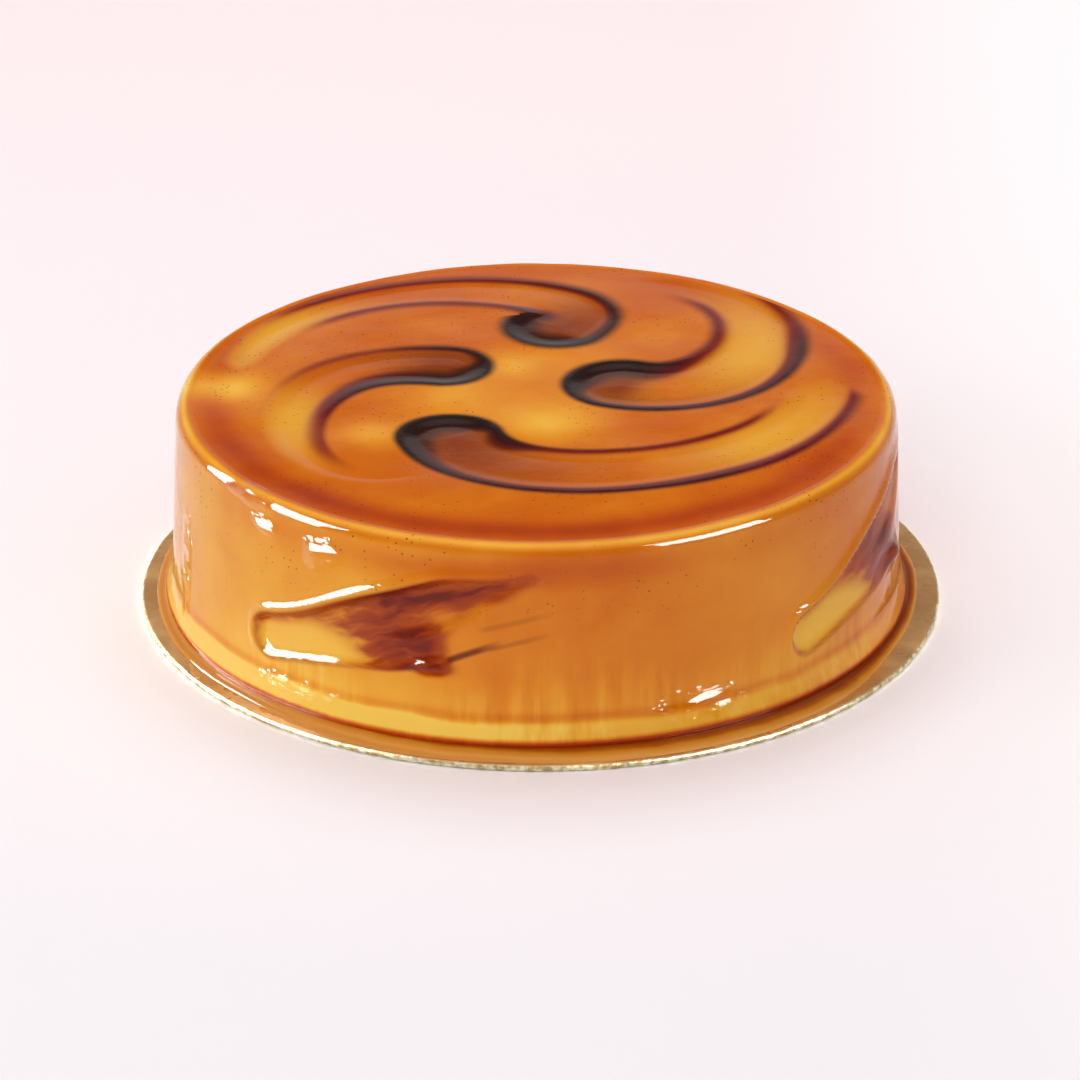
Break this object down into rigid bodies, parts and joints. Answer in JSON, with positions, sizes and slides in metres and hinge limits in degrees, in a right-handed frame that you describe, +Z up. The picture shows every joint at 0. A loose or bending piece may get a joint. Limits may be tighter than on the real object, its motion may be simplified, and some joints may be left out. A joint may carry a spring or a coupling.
{
  "type": "caramel glazed cake on a foil card",
  "caption": "Round uncut cream cake under a caramel mirror glaze, with dark spoon swirls on top and scooped feather marks round its side, on a gold foil card.",
  "frame": {"origin": "middle of the card's underside, where it rests", "axes": "+Z up, -Y towards the viewer, +X to the viewer's right"},
  "size_m": [0.2286, 0.2286, 0.0606],
  "materials": {
    "caramel_glaze": "clear glossy glaze over caramel cream",
    "gold_foil": "satin gold foil over board"
  },
  "bodies": {
    "root": {"cake_card": "gold_foil", "glaze_pool": "caramel_glaze", "glazed_cake": "caramel_glaze"}
  },
  "joints": []
}
